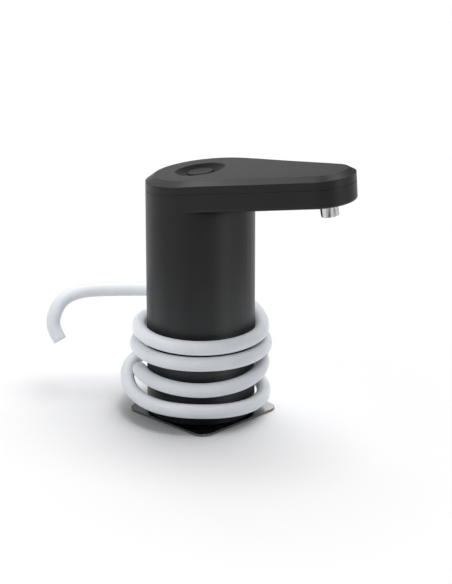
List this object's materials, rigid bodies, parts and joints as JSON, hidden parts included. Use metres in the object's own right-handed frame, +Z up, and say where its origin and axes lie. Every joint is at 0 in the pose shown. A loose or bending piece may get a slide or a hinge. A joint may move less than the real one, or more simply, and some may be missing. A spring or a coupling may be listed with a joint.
{
  "type": "countertop water dispenser",
  "caption": "Rechargeable column water dispenser with sloping spout head, push button, steel rest plate and a silicone suction hose wound round it.",
  "frame": {"origin": "on the column's axis, at the level of the surface that the plate lies on", "axes": "+Z up along the column, +X along the spout arm seen from above"},
  "size_m": [0.2191, 0.0971, 0.1815],
  "materials": {
    "shell": "fine matt moulding texture",
    "button": "satin",
    "plate_steel": "dark satin",
    "soft_rubber": "matt",
    "chassis": "moulded",
    "magnet": "nickel plated",
    "screw_steel": "zinc plated",
    "clear_silicone": "translucent",
    "switch": "moulded",
    "board": "solder mask",
    "port_steel": "plain",
    "motor_steel": "plated",
    "motor_plastic": "moulded",
    "ferrite": "sintered",
    "windings": "enamelled copper",
    "strap": "nylon",
    "gear": "acetal",
    "pump_plastic": "moulded",
    "cell_wrap": "shrink wrap",
    "fitting": "moulded",
    "nozzle_steel": "polished stainless steel",
    "lead": "insulated wire",
    "hose": "translucent silicone"
  },
  "bodies": {
    "stand": {"base_plate": "plate_steel", "plate_pad": "soft_rubber"},
    "foot": {"foot_ring": "soft_rubber"},
    "dispenser": {"main_housing": "shell", "top_cover": "shell", "base_chassis": "chassis", "magnets": "magnet", "base_screws": "screw_steel", "button_dome": "clear_silicone", "tact_switch": "switch", "control_board": "board", "board_screws": "screw_steel", "charge_port": "port_steel", "port_board": "board", "motor_can": "motor_steel", "motor_endcap": "motor_plastic", "motor_magnets": "ferrite", "motor_strap": "strap", "idler_pin": "screw_steel", "pump_housing": "pump_plastic", "pump_gasket": "soft_rubber", "pump_cover": "pump_plastic", "pump_screws": "screw_steel", "battery_cell": "cell_wrap", "cell_strap": "strap", "inlet_elbow": "fitting", "suction_tube": "clear_silicone", "delivery_tube": "clear_silicone", "outlet_nozzle": "nozzle_steel", "nozzle_seal": "soft_rubber", "nozzle_elbow": "fitting", "motor_leads": "lead", "cell_leads": "lead", "hose_coil": "hose", "hose_tail": "hose"},
    "button": {"power_button": "button"},
    "rotor": {"motor_rotor": "windings", "drive_gear": "gear"},
    "idler": {"idler_gear": "gear"}
  },
  "joints": [
    {"name": "lift_off", "type": "slide", "parent": "stand", "child": "foot", "axis": [0, 0, 1], "range_m": [0, 0.05]},
    {"name": "turn", "type": "hinge", "parent": "foot", "child": "dispenser", "pos_m": [0, 0, 0], "axis": [0, 0, 1], "continuous": true},
    {"name": "button_press", "type": "slide", "parent": "dispenser", "child": "button", "axis": [0.1599, 0, -0.9871], "range_m": [0, 0.001], "stiffness_N_per_m": 1500, "springref_m": -0.0003, "deforming": ["button_dome"]},
    {"name": "motor_spin", "type": "hinge", "parent": "dispenser", "child": "rotor", "pos_m": [-0.011, 0, 0], "axis": [0, 0, 1], "continuous": true},
    {"name": "idler_spin", "type": "hinge", "parent": "dispenser", "child": "idler", "pos_m": [-0.011, -0.0101, 0], "axis": [0, 0, 1], "continuous": true}
  ],
  "couplings": [
    {"joint": "idler_spin", "follows": "motor_spin", "ratio": -1}
  ]
}
